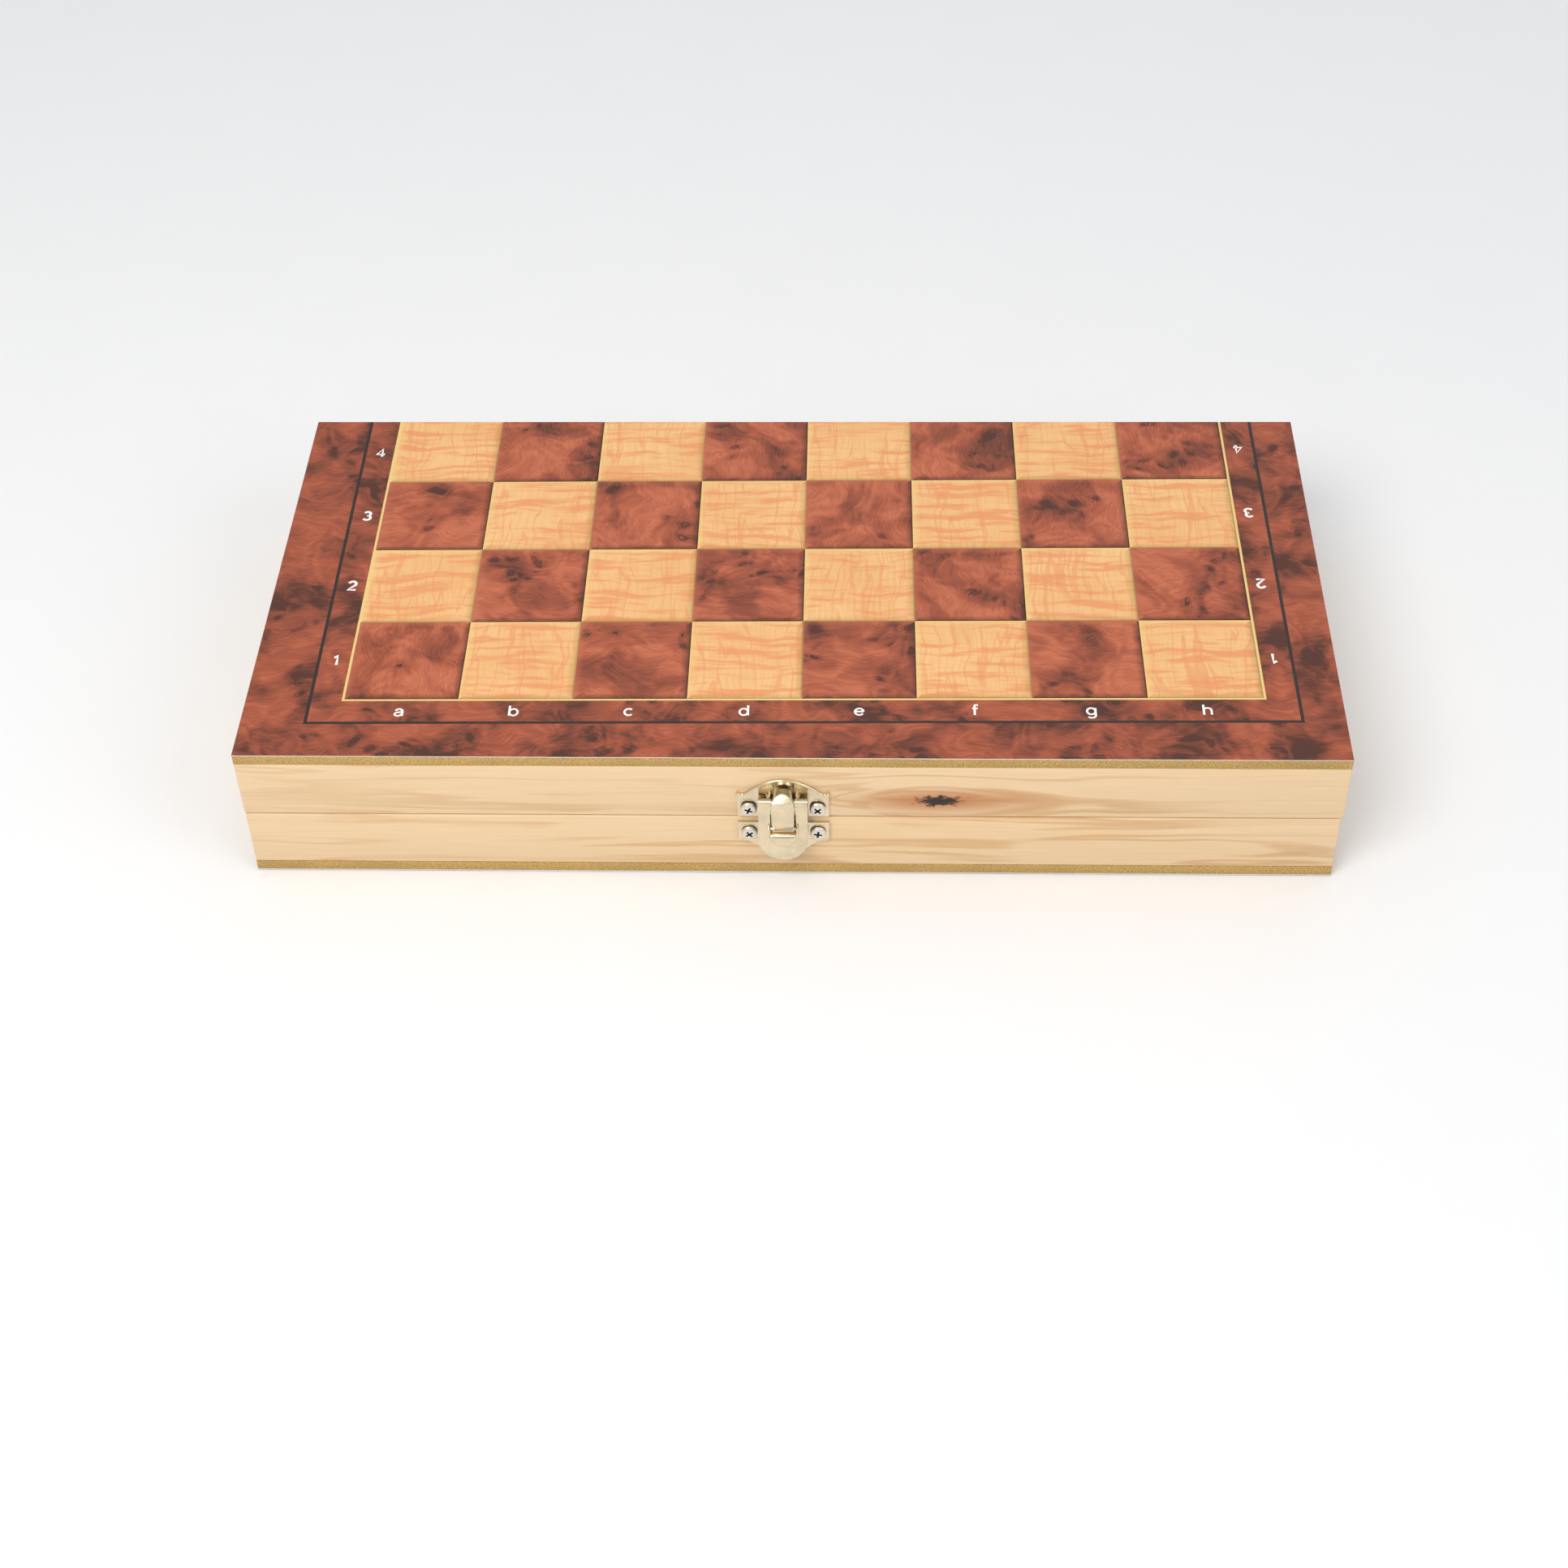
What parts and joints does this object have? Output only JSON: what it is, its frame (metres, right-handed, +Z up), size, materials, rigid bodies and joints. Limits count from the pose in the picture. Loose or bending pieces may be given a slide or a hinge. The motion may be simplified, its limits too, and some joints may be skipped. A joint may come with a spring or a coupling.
{
  "type": "folding chess set",
  "caption": "Folding wooden chess box with a printed playing field outside, back hinges, a front toggle latch and turned chess men stored inside.",
  "frame": {"origin": "middle of the lower panel's underside, on which the closed box stands", "axes": "+X to the right along the box seen from its latch, +Y from the latched front to the hinged back, +Z up"},
  "size_m": [0.24, 0.1258, 0.0353],
  "materials": {
    "field_print": "printed wood pattern under a satin laminate",
    "fibreboard": "sawn, raw edge",
    "pine": "sanded, unvarnished",
    "plated_steel": "polished pale gold plating",
    "bright_steel": "bright drawn wire and screws",
    "pale_men": "turned and varnished",
    "dark_men": "turned, stained and varnished"
  },
  "bodies": {
    "lower_half": {"black_bishop_1": "dark_men", "black_bishop_2": "dark_men", "black_king": "dark_men", "black_knight_1": "dark_men", "black_knight_2": "dark_men", "black_pawn_1": "dark_men", "black_pawn_2": "dark_men", "black_pawn_3": "dark_men", "black_pawn_4": "dark_men", "black_pawn_5": "dark_men", "black_pawn_6": "dark_men", "black_pawn_7": "dark_men", "black_pawn_8": "dark_men", "black_queen": "dark_men", "black_rook_1": "dark_men", "black_rook_2": "dark_men", "latch_base_plate": "plated_steel", "latch_base_screw_left": "bright_steel", "latch_base_screw_right": "bright_steel", "latch_lever_pin": "bright_steel", "left_hinge_lower_leaf": "plated_steel", "left_hinge_pin": "bright_steel", "lower_back_rail": "pine", "lower_front_rail": "pine", "lower_left_rail": "pine", "lower_panel": "fibreboard", "lower_printed_sheet": "field_print", "lower_right_rail": "pine", "right_hinge_lower_leaf": "plated_steel", "right_hinge_pin": "bright_steel", "white_bishop_1": "pale_men", "white_bishop_2": "pale_men", "white_king": "pale_men", "white_knight_1": "pale_men", "white_knight_2": "pale_men", "white_pawn_1": "pale_men", "white_pawn_2": "pale_men", "white_pawn_3": "pale_men", "white_pawn_4": "pale_men", "white_pawn_5": "pale_men", "white_pawn_6": "pale_men", "white_pawn_7": "pale_men", "white_pawn_8": "pale_men", "white_queen": "pale_men", "white_rook_1": "pale_men", "white_rook_2": "pale_men"},
    "upper_half": {"latch_strike_plate": "plated_steel", "latch_strike_screw_left": "bright_steel", "latch_strike_screw_right": "bright_steel", "left_hinge_upper_leaf": "plated_steel", "right_hinge_upper_leaf": "plated_steel", "upper_back_rail": "pine", "upper_front_rail": "pine", "upper_left_rail": "pine", "upper_panel": "fibreboard", "upper_printed_sheet": "field_print", "upper_right_rail": "pine"},
    "latch_lever": {"latch_hook_pin": "bright_steel", "latch_lever": "plated_steel"},
    "latch_hook": {"latch_hook": "plated_steel"}
  },
  "joints": [
    {"name": "board_fold", "type": "hinge", "parent": "lower_half", "child": "upper_half", "pos_m": [0, 0.06015, 0.01765], "axis": [-1, 0, 0], "range_deg": [0, 180]},
    {"name": "lever_lift", "type": "hinge", "parent": "lower_half", "child": "latch_lever", "pos_m": [-0.0014, -0.0621, 0.02395], "axis": [-1, 0, 0], "range_deg": [0, 90]},
    {"name": "hook_swing", "type": "hinge", "parent": "latch_lever", "child": "latch_hook", "pos_m": [-0.0014, -0.063, 0.01685], "axis": [-1, 0, 0], "range_deg": [-90, 0]}
  ],
  "couplings": [
    {"joint": "hook_swing", "follows": "lever_lift", "ratio": -1}
  ]
}
